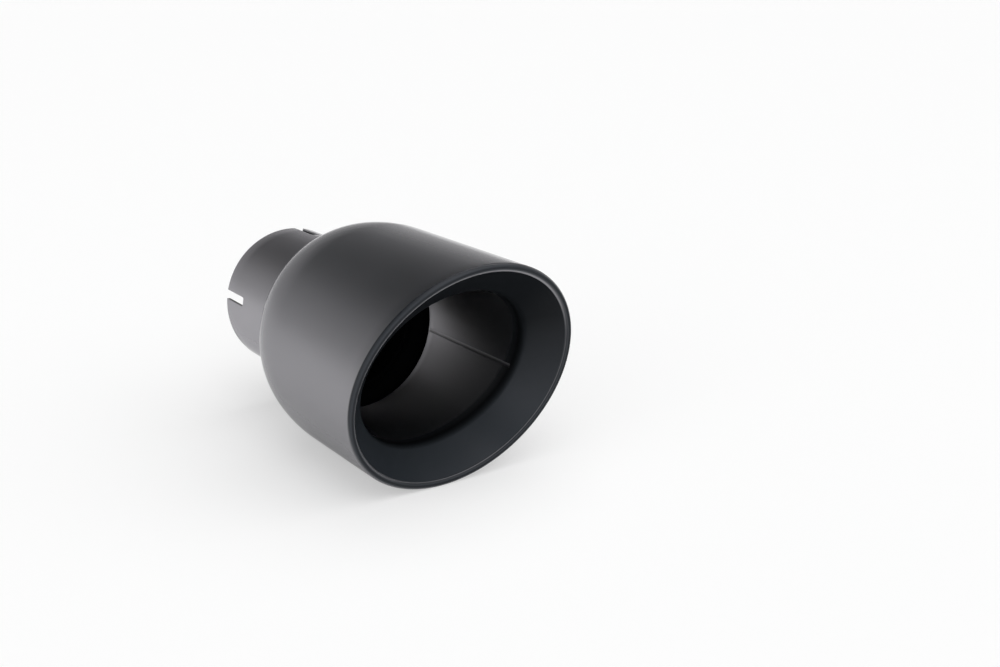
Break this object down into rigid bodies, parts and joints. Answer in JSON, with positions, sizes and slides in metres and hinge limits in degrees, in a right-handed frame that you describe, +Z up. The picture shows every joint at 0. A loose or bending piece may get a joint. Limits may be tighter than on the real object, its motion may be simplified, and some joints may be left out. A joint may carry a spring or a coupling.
{
  "type": "exhaust tip",
  "caption": "Slip-on exhaust tip in satin black: slotted inlet sleeve, domed shoulder, round body and slash-cut mouth with a rolled edge and a wide bevelled lip.",
  "frame": {"origin": "centre of the inlet sleeve's open end, where the tip slides over the tailpipe", "axes": "+X along the tip's axis to the mouth, +Z up, to the long side of the slash cut"},
  "size_m": [0.174, 0.1016, 0.1016],
  "materials": {
    "sleeve_coat": "satin black coating on stainless steel",
    "shell_coat": "satin black coating on stainless steel",
    "liner_coat": "satin black coating on stainless steel"
  },
  "bodies": {
    "root": {"inlet_sleeve": "sleeve_coat", "outer_shell": "shell_coat", "inner_liner": "liner_coat"}
  },
  "joints": []
}
